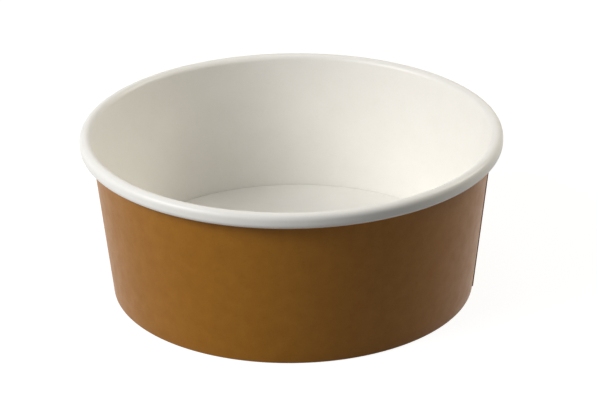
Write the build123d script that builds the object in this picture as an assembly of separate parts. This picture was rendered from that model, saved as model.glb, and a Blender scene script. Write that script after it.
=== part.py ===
from build123d import *
from math import asin, atan2, cos, degrees, radians, sin
import os

# A round paper salad bowl, in millimetres, standing on Z = 0 with its axis on Z.
# Two pieces of coated board: a side wall with a rolled rim and a folded bottom edge,
# and a base disc whose turned-down skirt is clamped in that fold.

# Driving dimensions of the bowl
RIM_DIAMETER = 150.0
BASE_DIAMETER = 130.0
HEIGHT = 60.0
BOARD = 0.4

# The rolled rim. Its round turns are drawn as short flats, which keep so large a ring light.
BEAD_WIDTH = 4.3
BEAD_HEIGHT = 5.4
BEAD_GAP = 0.1
TURN_FLATS = 6

# The floor and the folded bottom edge
FLOOR_HEIGHT = 9.0
HEM_HEIGHT = 7.2
LAYER_GAP = 0.05

# The side seam: how far the sheet's end laps over its start, and how far it takes to step out.
# The sheet starts at +X and runs clockwise, seen from above. The angles are in degrees.
SEAM_LAP = 6.5
SEAM_STEP = 3.0
SEAM_BITE = 0.02

# Derived. Points are on the middle of the board, as distance from the axis and height.
foot = Vector((BASE_DIAMETER - BOARD) / 2, BOARD / 2)
rim_turn = (BEAD_WIDTH - BOARD) / 2
rim_centre = Vector((RIM_DIAMETER - BOARD) / 2 - rim_turn, HEIGHT - BOARD / 2 - rim_turn)
bead_low_z = HEIGHT - BEAD_HEIGHT + BOARD / 2

# The wall is the tangent from the foot to the inner side of the rim's top turn
to_rim = rim_centre - foot
taper = atan2(to_rim.X, to_rim.Y) - asin(rim_turn / to_rim.length)
up = Vector(sin(taper), cos(taper))
out = Vector(cos(taper), -sin(taper))

# The skirt and the hem lie inside the wall, each a board and a small gap further in
layer = BOARD + LAYER_GAP
seam_push = BOARD - SEAM_BITE


def on_wall(inward, height):
    """The point at a height on the line that is parallel to the wall and further in."""
    start = foot - out * inward
    return start + up * ((height - start.Y) / up.Y)


def turn(centre, radius, start, sweep):
    """The corners of a round turn that is drawn as flats. Angles are in degrees."""
    step = radians(sweep / TURN_FLATS)
    corner_radius = radius / cos(step / 2)
    angles = [radians(start) + step * (i + 0.5) for i in range(TURN_FLATS)]
    return [centre + Vector(cos(a), sin(a)) * corner_radius for a in angles]


def board_section(push):
    """The wall's board from the hem to the end of the roll, cut by a plane through the axis.
    push is how far the wall is moved outward, which makes its roll that much tighter."""
    lean = degrees(taper)
    top_turn = rim_turn - push
    side_r = rim_centre.X + top_turn
    low_z = bead_low_z + push

    # The lower turn touches the bead's outer side and the leg that goes up beside the wall
    leg = BOARD + BEAD_GAP
    reach = top_turn * (1 + up.Y) + (rim_centre.Y - low_z) * up.X - leg
    low_turn = reach / (1 + up.Y + up.X)
    low_centre = Vector(side_r - low_turn, low_z + low_turn)

    fold = [on_wall(2 * layer, HEM_HEIGHT), on_wall(2 * layer, foot.Y), on_wall(-push, foot.Y)]
    top = turn(rim_centre, top_turn, 180 - lean, lean - 180)
    low = turn(low_centre, low_turn, 0, -180 - lean)
    roll_end = rim_centre - out * (top_turn - leg)
    return Plane.XZ * trace(Polyline(*fold, *top, *low, roll_end), BOARD)


def side_wall():
    """The wall: a turn of board that steps outward at its end and laps over its start."""
    single = Rot(0, 0, SEAM_STEP) * board_section(0)
    lapped = board_section(seam_push)
    full_turn = 360.0
    body = revolve(single, Axis.Z, full_turn - SEAM_STEP)
    step = loft([single, lapped], ruled=True)
    lap = Rot(0, 0, -SEAM_LAP) * revolve(lapped, Axis.Z, SEAM_LAP)
    return body + step + lap


def base_disc():
    """The floor, with its edge turned down as a skirt that stands in the wall's fold."""
    floor_z = FLOOR_HEIGHT - BOARD / 2
    line = Polyline((0, floor_z), on_wall(layer, floor_z), on_wall(layer, 0))
    fold_floor = Pos(foot.X, 0) * Rectangle(4 * layer, 2 * BOARD)
    return revolve(Plane.XZ * (trace(line, BOARD) - fold_floor), Axis.Z)


def main():
    os.makedirs("parts", exist_ok=True)
    export_step(side_wall(), "parts/side_wall.step")
    export_step(base_disc(), "parts/base_disc.step")


main()
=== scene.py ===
"""A round paper salad bowl.

A tapered board wall has a rolled rim, and a board floor is clamped in its folded foot.
"""

from math import asin, atan2, cos, degrees, pi, radians, sin

import bmesh
import bpy
from mathutils import Matrix, Vector


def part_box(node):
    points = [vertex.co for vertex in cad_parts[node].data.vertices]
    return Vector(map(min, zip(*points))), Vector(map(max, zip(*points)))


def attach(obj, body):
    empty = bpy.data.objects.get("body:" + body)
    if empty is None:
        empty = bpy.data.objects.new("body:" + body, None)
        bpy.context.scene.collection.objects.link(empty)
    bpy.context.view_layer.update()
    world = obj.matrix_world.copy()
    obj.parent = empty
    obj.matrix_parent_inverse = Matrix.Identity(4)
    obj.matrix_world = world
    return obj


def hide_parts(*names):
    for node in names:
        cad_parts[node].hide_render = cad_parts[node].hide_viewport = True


bl_info = {
    "name": "Paper Salad Bowl",
    "version": (1, 0, 0),
    "blender": (4, 5, 0),
    "location": "3D View > Sidebar > Paper Bowl",
    "description": "Makes the board, the finishes and the studio of a paper salad bowl",
    "category": "Object",
}

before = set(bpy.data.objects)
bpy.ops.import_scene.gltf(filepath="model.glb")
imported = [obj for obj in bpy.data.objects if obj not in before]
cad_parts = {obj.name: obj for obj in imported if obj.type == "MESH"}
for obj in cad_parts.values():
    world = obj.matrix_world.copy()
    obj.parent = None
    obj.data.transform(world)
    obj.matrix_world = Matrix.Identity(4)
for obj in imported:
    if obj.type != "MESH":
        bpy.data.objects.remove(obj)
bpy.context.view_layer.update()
WALL_LOW, WALL_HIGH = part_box("side_wall")
DISC_LOW, DISC_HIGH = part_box("base_disc")

MM = 0.001
RIM_RADIUS = round((WALL_HIGH[1] - WALL_LOW[1]) / 2 / MM, 1) * MM
RIM_HEIGHT = round(WALL_HIGH[2] / MM, 1) * MM
FLOOR_HEIGHT = round(DISC_HIGH[2] / MM, 1) * MM
BOARD = round(DISC_LOW[2] / MM, 1) * MM

# How many pieces each stretch of the board's section is divided into
HEM_PIECES = 4
FOLD_PIECES = 5
WALL_PIECES = 16
TOP_TURN_PIECES = 22
LOW_TURN_PIECES = 20
TUCK_PIECES = 5
FLOOR_PIECES = 12
CORNER_PIECES = 6
SKIRT_PIECES = 4

# How many steps the section is turned in. The rest of the wall has one step a degree.
SEAM_STEP_PIECES = 6
LAP_PIECES = 8
DISC_PIECES = 240

# The range that a noise texture's values mostly lie in, and the part of it that shows as fibres
NOISE_LOW = 0.3
NOISE_HIGH = 0.7
FIBRE_LOW = 0.52
FIBRE_HIGH = 0.72

# How much of the second colour the fibres and the clouds bring, and how much the clouds
# change the roughness
FIBRE_TINT = 0.5
CLOUD_TINT = 0.5
ROUGHNESS_SPREAD = 0.04


class BoardSizes(bpy.types.PropertyGroup):
    """The folds, the roll and the seam of the two blanks of board"""

    board: bpy.props.FloatProperty(
        name="Board", description="Thickness of the board", default=BOARD, unit="LENGTH")
    base_diameter: bpy.props.FloatProperty(
        name="Base Diameter", description="Across the wall where it stands", default=130 * MM,
        unit="LENGTH")
    bead_width: bpy.props.FloatProperty(
        name="Bead Width", description="Rolled rim, side to side", default=4.3 * MM, unit="LENGTH")
    bead_height: bpy.props.FloatProperty(
        name="Bead Height", description="Rolled rim, top to bottom", default=5.4 * MM,
        unit="LENGTH")
    bead_gap: bpy.props.FloatProperty(
        name="Bead Gap", description="Air between the turns of the roll", default=0.1 * MM,
        unit="LENGTH")
    tucked_turn: bpy.props.FloatProperty(
        name="Tucked Turn", description="How far the roll goes on inside itself",
        default=radians(40), subtype="ANGLE")
    hem_height: bpy.props.FloatProperty(
        name="Hem Height", description="Top of the folded-in bottom edge", default=7.2 * MM,
        unit="LENGTH")
    knurl: bpy.props.FloatProperty(
        name="Knurl", description="Depth of the upright ridges pressed into the hem",
        default=0.1 * MM, unit="LENGTH")
    fold_radius: bpy.props.FloatProperty(
        name="Fold Radius", description="Middle of the board at a pressed fold",
        default=0.25 * MM, unit="LENGTH")
    floor_corner: bpy.props.FloatProperty(
        name="Floor Corner", description="Middle of the board at the floor's edge",
        default=0.6 * MM, unit="LENGTH")
    layer_gap: bpy.props.FloatProperty(
        name="Layer Gap", description="Air between the layers at the foot", default=0.05 * MM,
        unit="LENGTH")
    seam_lap: bpy.props.FloatProperty(
        name="Seam Lap", description="How far the sheet's end laps over its start",
        default=radians(6.5), subtype="ANGLE")
    seam_step: bpy.props.FloatProperty(
        name="Seam Step", description="How far the sheet takes to step outward",
        default=radians(3), subtype="ANGLE")
    seam_bite: bpy.props.FloatProperty(
        name="Seam Bite", description="How far the sealed layers press into one another",
        default=0.02 * MM, unit="LENGTH")


class BoardColours(bpy.types.PropertyGroup):
    """The colours of the board's faces, as linear values"""

    kraft: bpy.props.FloatVectorProperty(
        name="Kraft", description="The brown outer face", default=(0.358, 0.145, 0.0105),
        subtype="COLOR", min=0, max=1)
    kraft_fibre: bpy.props.FloatVectorProperty(
        name="Kraft Fibre", description="Darker fibres in the brown face",
        default=(0.276, 0.106, 0.007), subtype="COLOR", min=0, max=1)
    coated: bpy.props.FloatVectorProperty(
        name="Coated", description="The coated white inner face", default=(0.880, 0.860, 0.811),
        subtype="COLOR", min=0, max=1)
    coated_shade: bpy.props.FloatVectorProperty(
        name="Coated Shade", description="Faint cloudiness of the white face",
        default=(0.842, 0.819, 0.762), subtype="COLOR", min=0, max=1)
    core: bpy.props.FloatVectorProperty(
        name="Core", description="The cut edge of the board", default=(0.500, 0.330, 0.170),
        subtype="COLOR", min=0, max=1)


class StudioSettings(bpy.types.PropertyGroup):
    """The camera and the paleness of the studio"""

    lens: bpy.props.FloatProperty(
        name="Lens", description="Focal length on a 36 mm wide sensor", default=152.6)
    pitch: bpy.props.FloatProperty(
        name="Pitch", description="How far the camera looks down", default=radians(24.36),
        subtype="ANGLE")
    roll: bpy.props.FloatProperty(
        name="Roll", description="How far the camera leans", default=radians(-0.69),
        subtype="ANGLE")
    distance: bpy.props.FloatProperty(
        name="Distance", description="From the camera to the point that it looks at",
        default=0.9083, unit="LENGTH")
    aim: bpy.props.FloatVectorProperty(
        name="Aim", description="The point that the camera looks at",
        default=(0.00226, 0.0, 0.03173), subtype="XYZ", unit="LENGTH")
    floor_colour: bpy.props.FloatVectorProperty(
        name="Floor", description="The pale studio floor", default=(0.3, 0.3, 0.3),
        subtype="COLOR", min=0, max=1)
    floor_glow: bpy.props.FloatProperty(
        name="Floor Glow", description="Brings the floor up to white for the camera alone",
        default=0.86, min=0)
    ambient: bpy.props.FloatProperty(
        name="Ambient", description="Light from all round the studio", default=0.08, min=0)


# Soft square lamps of the studio: name, angle round the bowl from +X and height angle in
# degrees, power in watts and colour. Distance and size are in metres.
LAMPS = (
    ("key_left", 200, 30, 8.2, (0.98, 0.985, 1.0)),
    ("key_front", 215, 38, 4.4, (0.98, 0.985, 1.0)),
    ("back_right", 24, 36, 6.8, (1.0, 0.95, 0.84)),
    ("overhead", 0, 88, 1.2, (1.0, 1.0, 1.0)),
)
LAMP_DISTANCE = 1.2
LAMP_SIZE = 0.5
STUDIO_RADIUS = 4.0


class Station:
    """A place on the board's middle line, with the direction of its coated face."""

    def __init__(self, point, normal):
        self.point = point
        self.normal = normal


def straight(start, end, pieces):
    """Stations along a straight stretch. The coated face is on its left."""
    run = (end - start).normalized()
    normal = Vector((-run.y, run.x))
    return [Station(start.lerp(end, i / pieces), normal) for i in range(pieces + 1)]


def bend(centre, radius, start, sweep, pieces):
    """Stations round a bend. The coated face is outside where the bend turns clockwise."""
    side = -1 if sweep > 0 else 1
    stations = []
    for i in range(pieces + 1):
        angle = start + sweep * i / pieces
        ray = Vector((cos(angle), sin(angle)))
        stations.append(Station(centre + ray * radius, ray * side))
    return stations


class BowlSection:
    """The bowl's two blanks of board, cut by a plane through its axis: (radius, height)."""

    def __init__(self, sizes):
        self.sizes = sizes
        half = sizes.board / 2
        self.foot = Vector((sizes.base_diameter / 2 - half, half))
        self.rim_turn = sizes.bead_width / 2 - half
        inset = half + self.rim_turn
        self.rim_centre = Vector((RIM_RADIUS - inset, RIM_HEIGHT - inset))
        to_rim = self.rim_centre - self.foot
        self.taper = atan2(to_rim.x, to_rim.y) - asin(self.rim_turn / to_rim.length)
        self.up = Vector((sin(self.taper), cos(self.taper)))
        self.out = Vector((cos(self.taper), -sin(self.taper)))
        self.layer = sizes.board + sizes.layer_gap

    def on_wall(self, inward, height):
        """The point at a height on the line parallel to the wall and further in."""
        start = self.foot - self.out * inward
        return start + self.up * ((height - start.y) / self.up.y)

    def fold_centre(self, inward, side, radius):
        """The centre of a bottom fold, outside (1) or inside (-1) of a line."""
        return self.on_wall(inward - side * radius, self.sizes.board / 2 + radius)

    def wall(self, push):
        """The wall's stations from hem to roll. push moves the wall out and tightens the roll."""
        sizes = self.sizes
        up, out, lean = self.up, self.out, self.taper
        fold = sizes.fold_radius
        top_turn = self.rim_turn - push
        side_r = self.rim_centre.x + top_turn
        low_z = RIM_HEIGHT - sizes.bead_height + sizes.board / 2 + push
        leg = sizes.board + sizes.bead_gap
        reach = top_turn * (1 + up.y) + (self.rim_centre.y - low_z) * up.x - leg
        low_turn = reach / (1 + up.y + up.x)
        low_centre = Vector((side_r - low_turn, low_z + low_turn))
        hem_fold = self.fold_centre(2 * self.layer, 1, fold)
        wall_fold = self.fold_centre(-push, -1, fold)
        tuck = top_turn - leg
        hem_top = self.on_wall(2 * self.layer, sizes.hem_height)
        wall_top = self.rim_centre - out * top_turn
        line = straight(hem_top, hem_fold - out * fold, HEM_PIECES)
        line += bend(hem_fold, fold, pi - lean, pi / 2 + lean, FOLD_PIECES)
        line += bend(wall_fold, fold, -pi / 2, pi / 2 - lean, FOLD_PIECES)
        line += straight(wall_fold + out * fold, wall_top, WALL_PIECES)[1:]
        line += bend(self.rim_centre, top_turn, pi - lean, lean - pi, TOP_TURN_PIECES)[1:]
        line += bend(low_centre, low_turn, 0, -pi - lean, LOW_TURN_PIECES)
        line += bend(self.rim_centre, tuck, pi - lean, -sizes.tucked_turn, TUCK_PIECES)
        return line

    def disc(self):
        """The base disc's stations from its centre to the foot of its skirt."""
        sizes = self.sizes
        half = sizes.board / 2
        floor_z = FLOOR_HEIGHT - half
        corner = sizes.floor_corner
        centre = self.on_wall(self.layer + corner, floor_z - corner)
        just_above_fold = 1.01 * sizes.board
        skirt_foot = self.on_wall(self.layer, just_above_fold)
        line = straight(Vector((0, floor_z)), Vector((centre.x, floor_z)), FLOOR_PIECES)
        line += bend(centre, corner, pi / 2, -pi / 2 - self.taper, CORNER_PIECES)[1:]
        line += straight(centre + self.out * corner, skirt_foot, SKIRT_PIECES)[1:]
        return line


def board_outline(line, board):
    """The closed outline of a board: its coated face, then back along its other face."""
    coated = [s.point + s.normal * board / 2 for s in line]
    plain = [s.point - s.normal * board / 2 for s in line]
    return coated + plain[::-1]


def at_angle(point, angle):
    """A point of the section, turned to an angle round the bowl's axis."""
    return Vector((point.x * cos(angle), point.x * sin(angle), point.y))


def start_outline(bm, outline, angle, closed):
    """A loop of edges in the plane at an angle, with each vertex numbered along it."""
    number = bm.verts.layers.int.new("number")
    verts = [bm.verts.new(at_angle(p, angle)) for p in outline]
    for i, vert in enumerate(verts):
        vert[number] = i
    ends = verts[1:] + verts[:1] if closed else verts[1:]
    edges = [bm.edges.new(pair) for pair in zip(verts, ends)]
    return verts + edges


def spin(bm, geom, angle, steps, merge=False):
    """Turn geometry round the bowl's axis, and return its last copy."""
    made = bmesh.ops.spin(
        bm, geom=geom, cent=(0, 0, 0), axis=(0, 0, 1), angle=angle, steps=steps, use_merge=merge)
    return made["geom_last"]


def finish_board(bm, name, length, materials):
    """Give each face its material and smoothness, and make the mesh's object.

    length is the number of stations: lower numbers are on the coated face.
    """
    number = bm.verts.layers.int["number"]
    coated, plain, core = range(3)
    for face in bm.faces:
        sides = {vert[number] < length for vert in face.verts}
        end_of_sheet = len(face.verts) > 4
        if len(sides) > 1 or end_of_sheet:
            face.material_index = core
        else:
            face.material_index = coated if sides == {True} else plain
        face.smooth = face.material_index != core
    for edge in bm.edges:
        kinds = {face.material_index for face in edge.link_faces}
        edge.smooth = len(kinds) == 1
    mesh = bpy.data.meshes.new(name)
    bm.to_mesh(mesh)
    bm.free()
    for material in materials:
        mesh.materials.append(material)
    piece = bpy.data.objects.new(name, mesh)
    bpy.context.scene.collection.objects.link(piece)
    return piece


def knurled_numbers(line, outline, sizes):
    """Numbers of the outline's points where ridges are pressed: on the lower part of the hem,
    on its side towards the recess."""
    plain_face = range(len(line), len(outline))
    low, high = 2 * sizes.board, sizes.hem_height - sizes.board
    reach = sizes.base_diameter / 2 - 2 * sizes.board
    return {i for i in plain_face if low < outline[i].y < high and outline[i].x < reach}


def make_wall(sizes):
    """The wall's sheet: clockwise from +X, a turn of board that steps outward and laps over
    its start. Every second degree of the hem is pressed in as a ridge."""
    section = BowlSection(sizes)
    push = sizes.board - sizes.seam_bite
    single = section.wall(0)
    outline = board_outline(single, sizes.board)
    pressed = knurled_numbers(single, outline, sizes)
    bm = bmesh.new()
    start = start_outline(bm, outline, 0, True)
    bmesh.ops.contextual_create(bm, geom=start)
    to_step = 2 * pi - sizes.seam_step
    end = spin(bm, start, -to_step, round(degrees(to_step)))
    number = bm.verts.layers.int["number"]
    hem = [vert for vert in bm.verts if vert[number] in pressed]
    ridges = [vert for vert in hem if round(degrees(atan2(vert.co.y, vert.co.x))) % 2]
    inward = 1 - sizes.knurl / RIM_RADIUS
    bmesh.ops.scale(bm, vec=(inward, inward, 1), verts=ridges)
    for i in range(1, SEAM_STEP_PIECES + 1):
        share = i / SEAM_STEP_PIECES
        eased_push = push * (1 - cos(pi * share)) / 2
        shape = board_outline(section.wall(eased_push), sizes.board)
        end = spin(bm, end, -sizes.seam_step / SEAM_STEP_PIECES, 1)
        angle = -to_step - sizes.seam_step * share
        for vert in (g for g in end if isinstance(g, bmesh.types.BMVert)):
            vert.co = at_angle(shape[vert[number]], angle)
    end = spin(bm, end, -sizes.seam_lap, LAP_PIECES)
    bmesh.ops.contextual_create(bm, geom=end)
    bmesh.ops.recalc_face_normals(bm, faces=bm.faces)
    return bm, len(single)


def make_disc(sizes):
    """The base disc: a flat floor with a turned-down skirt."""
    line = BowlSection(sizes).disc()
    outline = board_outline(line, sizes.board)
    for on_axis in (outline[0], outline[-1]):
        on_axis.x = 0
    bm = bmesh.new()
    start = start_outline(bm, outline, 0, False)
    spin(bm, start, 2 * pi, DISC_PIECES, merge=True)
    bmesh.ops.remove_doubles(bm, verts=bm.verts, dist=0.001 * MM)
    bmesh.ops.recalc_face_normals(bm, faces=bm.faces)
    return bm, len(line)


def add_node(nodes, kind, place, **values):
    """A shader node at a place in the tree, with values for its inputs."""
    node = nodes.new(kind)
    node.location = place
    for name, value in values.items():
        node.inputs[name.replace("_", " ")].default_value = value
    return node


def paper_fibre_group():
    """Fibres and cloudiness of board: a mask of fibres, a mask of clouds and a height."""
    name = "paper fibre"
    if name in bpy.data.node_groups:
        return bpy.data.node_groups[name]
    group = bpy.data.node_groups.new(name, "ShaderNodeTree")
    sockets = group.interface
    sockets.new_socket("Vector", in_out="INPUT", socket_type="NodeSocketVector")
    for label, value in (("Fibre Scale", 900.0), ("Cloud Scale", 60.0), ("Cloud Share", 0.3)):
        socket = sockets.new_socket(label, in_out="INPUT", socket_type="NodeSocketFloat")
        socket.default_value = value
    for label in ("Fibre", "Cloud", "Height"):
        sockets.new_socket(label, in_out="OUTPUT", socket_type="NodeSocketFloat")
    nodes, links = group.nodes, group.links
    inside = add_node(nodes, "NodeGroupInput", (-900, 0))
    outside = add_node(nodes, "NodeGroupOutput", (600, 0))
    fibre = add_node(nodes, "ShaderNodeTexNoise", (-600, 200), Detail=6.0, Roughness=0.7,
                     Distortion=1.2)
    cloud = add_node(nodes, "ShaderNodeTexNoise", (-600, -100), Detail=4.0, Roughness=0.55)
    ramp = add_node(nodes, "ShaderNodeMapRange", (-300, 200), From_Min=FIBRE_LOW,
                    From_Max=FIBRE_HIGH)
    mix = add_node(nodes, "ShaderNodeMix", (200, -100))
    for texture, scale in ((fibre, "Fibre Scale"), (cloud, "Cloud Scale")):
        links.new(inside.outputs["Vector"], texture.inputs["Vector"])
        links.new(inside.outputs[scale], texture.inputs["Scale"])
    links.new(fibre.outputs["Fac"], ramp.inputs["Value"])
    links.new(inside.outputs["Cloud Share"], mix.inputs["Factor"])
    links.new(fibre.outputs["Fac"], mix.inputs["A"])
    links.new(cloud.outputs["Fac"], mix.inputs["B"])
    links.new(ramp.outputs["Result"], outside.inputs["Fibre"])
    links.new(cloud.outputs["Fac"], outside.inputs["Cloud"])
    links.new(mix.outputs["Result"], outside.inputs["Height"])
    return group


def board_material(name, colour, shade, fibre_scale, cloud_scale, roughness, gloss, relief,
                   relief_depth):
    """A face of board: its colour broken by fibres and clouds, with a fine relief."""
    if name in bpy.data.materials:
        return bpy.data.materials[name]
    material = bpy.data.materials.new(name)
    material.use_nodes = True
    nodes, links = material.node_tree.nodes, material.node_tree.links
    shader = nodes["Principled BSDF"]
    shader.inputs["Specular IOR Level"].default_value = gloss
    place = add_node(nodes, "ShaderNodeTexCoord", (-1100, 0))
    fibre = add_node(nodes, "ShaderNodeGroup", (-900, 0))
    fibre.node_tree = paper_fibre_group()
    fibre.inputs["Fibre Scale"].default_value = fibre_scale
    fibre.inputs["Cloud Scale"].default_value = cloud_scale
    links.new(place.outputs["Object"], fibre.inputs["Vector"])
    clouds = add_node(nodes, "ShaderNodeMapRange", (-600, 100), From_Min=NOISE_LOW,
                      From_Max=NOISE_HIGH, To_Min=0.0, To_Max=CLOUD_TINT)
    links.new(fibre.outputs["Cloud"], clouds.inputs["Value"])
    share = add_node(nodes, "ShaderNodeMath", (-400, 100))
    share.operation = "ADD"
    share.use_clamp = True
    fibres = add_node(nodes, "ShaderNodeMath", (-600, -100))
    fibres.operation = "MULTIPLY"
    fibres.inputs[1].default_value = FIBRE_TINT
    links.new(fibre.outputs["Fibre"], fibres.inputs[0])
    links.new(clouds.outputs["Result"], share.inputs[0])
    links.new(fibres.outputs["Value"], share.inputs[1])
    mix = add_node(nodes, "ShaderNodeMix", (-200, 100))
    mix.data_type = "RGBA"
    mix.inputs["A"].default_value = (*colour, 1)
    mix.inputs["B"].default_value = (*shade, 1)
    links.new(share.outputs["Value"], mix.inputs["Factor"])
    links.new(mix.outputs["Result"], shader.inputs["Base Color"])
    rough = add_node(nodes, "ShaderNodeMapRange", (-400, -200), From_Min=NOISE_LOW,
                     From_Max=NOISE_HIGH, To_Min=roughness - ROUGHNESS_SPREAD,
                     To_Max=roughness + ROUGHNESS_SPREAD)
    links.new(fibre.outputs["Cloud"], rough.inputs["Value"])
    links.new(rough.outputs["Result"], shader.inputs["Roughness"])
    bump = add_node(nodes, "ShaderNodeBump", (-200, -400), Strength=relief,
                    Distance=relief_depth)
    links.new(fibre.outputs["Height"], bump.inputs["Height"])
    links.new(bump.outputs["Normal"], shader.inputs["Normal"])
    return material


def coated_face(colours):
    """The white face: smooth, with a thin plastic coat."""
    return board_material(
        "coated_white", colours.coated, colours.coated_shade, fibre_scale=500, cloud_scale=110,
        roughness=0.36, gloss=0.35, relief=0.12, relief_depth=0.04 * MM)


def kraft_face(colours):
    """The brown face: natural board with short darker fibres."""
    return board_material(
        "kraft_brown", colours.kraft, colours.kraft_fibre, fibre_scale=900, cloud_scale=220,
        roughness=0.4, gloss=0.18, relief=0.2, relief_depth=0.04 * MM)


def core_face(colours):
    """The cut edge of the board: bare fibre."""
    shade = [0.8 * value for value in colours.core]
    return board_material(
        "board_core", colours.core, shade, fibre_scale=2500, cloud_scale=300,
        roughness=0.85, gloss=0.5, relief=0.5, relief_depth=0.05 * MM)


def plain_white_face(colours):
    """The underside of the floor: white board without a coat."""
    return board_material(
        "plain_white", colours.coated_shade, colours.coated, fibre_scale=1300, cloud_scale=80,
        roughness=0.7, gloss=0.5, relief=0.35, relief_depth=0.05 * MM)


class PAPERBOWL_OT_side_wall(bpy.types.Operator):
    """Wind the wall's blank, roll its rim, fold its foot and give it its finishes"""

    bl_idname = "paperbowl.side_wall"
    bl_label = "Side Wall"
    bl_options = {"REGISTER", "UNDO"}

    def execute(self, context):
        colours = context.scene.paper_bowl_colours
        bm, length = make_wall(context.scene.paper_bowl)
        materials = (coated_face(colours), kraft_face(colours), core_face(colours))
        piece = finish_board(bm, "board_wall", length, materials)
        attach(piece, "root")
        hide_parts("side_wall")
        return {"FINISHED"}


class PAPERBOWL_OT_base_disc(bpy.types.Operator):
    """Turn down the base disc's edge and give it its finishes"""

    bl_idname = "paperbowl.base_disc"
    bl_label = "Base Disc"
    bl_options = {"REGISTER", "UNDO"}

    def execute(self, context):
        colours = context.scene.paper_bowl_colours
        bm, length = make_disc(context.scene.paper_bowl)
        materials = (coated_face(colours), plain_white_face(colours), core_face(colours))
        piece = finish_board(bm, "board_floor", length, materials)
        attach(piece, "root")
        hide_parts("base_disc")
        return {"FINISHED"}


def shown_to(nodes, links, place):
    """1 where the camera sees a surface, or sees it mirrored in another, and 0 for light."""
    path = add_node(nodes, "ShaderNodeLightPath", place)
    seen = add_node(nodes, "ShaderNodeMath", (place[0] + 200, place[1]))
    seen.operation = "MAXIMUM"
    links.new(path.outputs["Is Camera Ray"], seen.inputs[0])
    links.new(path.outputs["Is Glossy Ray"], seen.inputs[1])
    return seen.outputs["Value"]


def studio_floor(settings):
    """A wide pale floor that shows white and keeps the bowl's shadow."""
    bm = bmesh.new()
    bmesh.ops.create_circle(bm, cap_ends=True, segments=96, radius=STUDIO_RADIUS)
    mesh = bpy.data.meshes.new("studio_floor")
    bm.to_mesh(mesh)
    bm.free()
    floor = bpy.data.objects.new("studio_floor", mesh)
    bpy.context.scene.collection.objects.link(floor)
    material = bpy.data.materials.new("studio_floor")
    material.use_nodes = True
    nodes, links = material.node_tree.nodes, material.node_tree.links
    matte = nodes["Principled BSDF"]
    matte.inputs["Base Color"].default_value = (*settings.floor_colour, 1)
    matte.inputs["Roughness"].default_value = 1.0
    matte.inputs["Specular IOR Level"].default_value = 0.0
    glow = add_node(nodes, "ShaderNodeEmission", (0, -700), Strength=settings.floor_glow)
    both = add_node(nodes, "ShaderNodeAddShader", (200, -500))
    pick = add_node(nodes, "ShaderNodeMixShader", (400, 0))
    links.new(matte.outputs["BSDF"], both.inputs[0])
    links.new(glow.outputs["Emission"], both.inputs[1])
    links.new(shown_to(nodes, links, (0, 300)), pick.inputs["Fac"])
    links.new(matte.outputs["BSDF"], pick.inputs[1])
    links.new(both.outputs["Shader"], pick.inputs[2])
    links.new(pick.outputs["Shader"], nodes["Material Output"].inputs["Surface"])
    mesh.materials.append(material)


def studio_world(settings):
    """A pale studio all round: white to the camera, dim as a light."""
    world = bpy.data.worlds.new("studio")
    bpy.context.scene.world = world
    world.use_nodes = True
    nodes, links = world.node_tree.nodes, world.node_tree.links
    dim = nodes["Background"]
    dim.inputs["Color"].default_value = (1, 1, 1, 1)
    dim.inputs["Strength"].default_value = settings.ambient
    white = add_node(nodes, "ShaderNodeBackground", (0, -200), Color=(1, 1, 1, 1), Strength=1.0)
    pick = add_node(nodes, "ShaderNodeMixShader", (300, 0))
    links.new(shown_to(nodes, links, (0, 300)), pick.inputs["Fac"])
    links.new(dim.outputs["Background"], pick.inputs[1])
    links.new(white.outputs["Background"], pick.inputs[2])
    links.new(pick.outputs["Shader"], nodes["World Output"].inputs["Surface"])


def studio_lamp(name, angle, height, power, colour):
    """A soft lamp that faces the bowl's middle. The angles are in degrees."""
    data = bpy.data.lights.new(name, "AREA")
    data.size = LAMP_SIZE
    data.energy = power
    data.color = colour
    lamp = bpy.data.objects.new(name, data)
    level, upward = cos(radians(height)), sin(radians(height))
    ray = Vector((cos(radians(angle)) * level, sin(radians(angle)) * level, upward))
    middle = Vector((0, 0, RIM_HEIGHT / 2))
    lamp.location = middle + ray * LAMP_DISTANCE
    lamp.rotation_euler = (-ray).to_track_quat("-Z", "Y").to_euler()
    bpy.context.scene.collection.objects.link(lamp)


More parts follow.
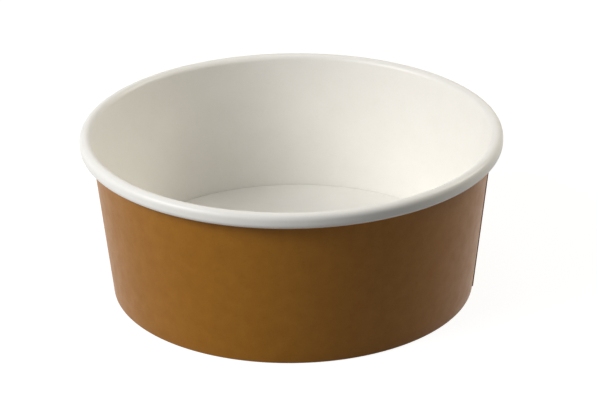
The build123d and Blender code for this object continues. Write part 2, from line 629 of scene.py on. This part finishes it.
def studio_camera(settings):
    """The camera, at the photograph's height, distance and slight lean."""
    data = bpy.data.cameras.new("camera")
    data.lens = settings.lens
    data.sensor_width = 36
    camera = bpy.data.objects.new("camera", data)
    down = Matrix.Rotation(pi / 2 - settings.pitch, 4, "X")
    lean = Matrix.Rotation(settings.roll, 4, "Z")
    forward = Vector((0, cos(settings.pitch), -sin(settings.pitch)))
    place = Matrix.Translation(Vector(settings.aim) - forward * settings.distance)
    camera.matrix_world = place @ down @ lean
    bpy.context.scene.collection.objects.link(camera)
    bpy.context.scene.camera = camera


class PAPERBOWL_OT_studio(bpy.types.Operator):
    """Set the pale floor, the soft lamps and the camera"""

    bl_idname = "paperbowl.studio"
    bl_label = "Studio"
    bl_options = {"REGISTER", "UNDO"}

    def execute(self, context):
        settings = context.scene.paper_bowl_studio
        studio_floor(settings)
        studio_world(settings)
        for lamp in LAMPS:
            studio_lamp(*lamp)
        studio_camera(settings)
        context.scene.view_settings.view_transform = "Standard"
        return {"FINISHED"}


class PAPERBOWL_PT_panel(bpy.types.Panel):
    """Lists the bowl's settings and the operators that make it"""

    bl_idname = "PAPERBOWL_PT_panel"
    bl_label = "Paper Salad Bowl"
    bl_space_type = "VIEW_3D"
    bl_region_type = "UI"
    bl_category = "Paper Bowl"

    def draw(self, context):
        scene = context.scene
        for settings in (scene.paper_bowl, scene.paper_bowl_colours, scene.paper_bowl_studio):
            box = self.layout.box()
            for name in settings.bl_rna.properties.keys():
                if name not in ("rna_type", "name"):
                    box.prop(settings, name)
        for operator in OPERATORS:
            self.layout.operator(operator.bl_idname)


OPERATORS = (PAPERBOWL_OT_side_wall, PAPERBOWL_OT_base_disc, PAPERBOWL_OT_studio)
CLASSES = (BoardSizes, BoardColours, StudioSettings, *OPERATORS, PAPERBOWL_PT_panel)


def register():
    for cls in CLASSES:
        bpy.utils.register_class(cls)
    bpy.types.Scene.paper_bowl = bpy.props.PointerProperty(type=BoardSizes)
    bpy.types.Scene.paper_bowl_colours = bpy.props.PointerProperty(type=BoardColours)
    bpy.types.Scene.paper_bowl_studio = bpy.props.PointerProperty(type=StudioSettings)


def unregister():
    del bpy.types.Scene.paper_bowl_studio
    del bpy.types.Scene.paper_bowl_colours
    del bpy.types.Scene.paper_bowl
    for cls in reversed(CLASSES):
        bpy.utils.unregister_class(cls)


def main():
    register()
    bpy.ops.paperbowl.side_wall()
    bpy.ops.paperbowl.base_disc()
    bpy.ops.paperbowl.studio()


if __name__ == "__main__":
    main()
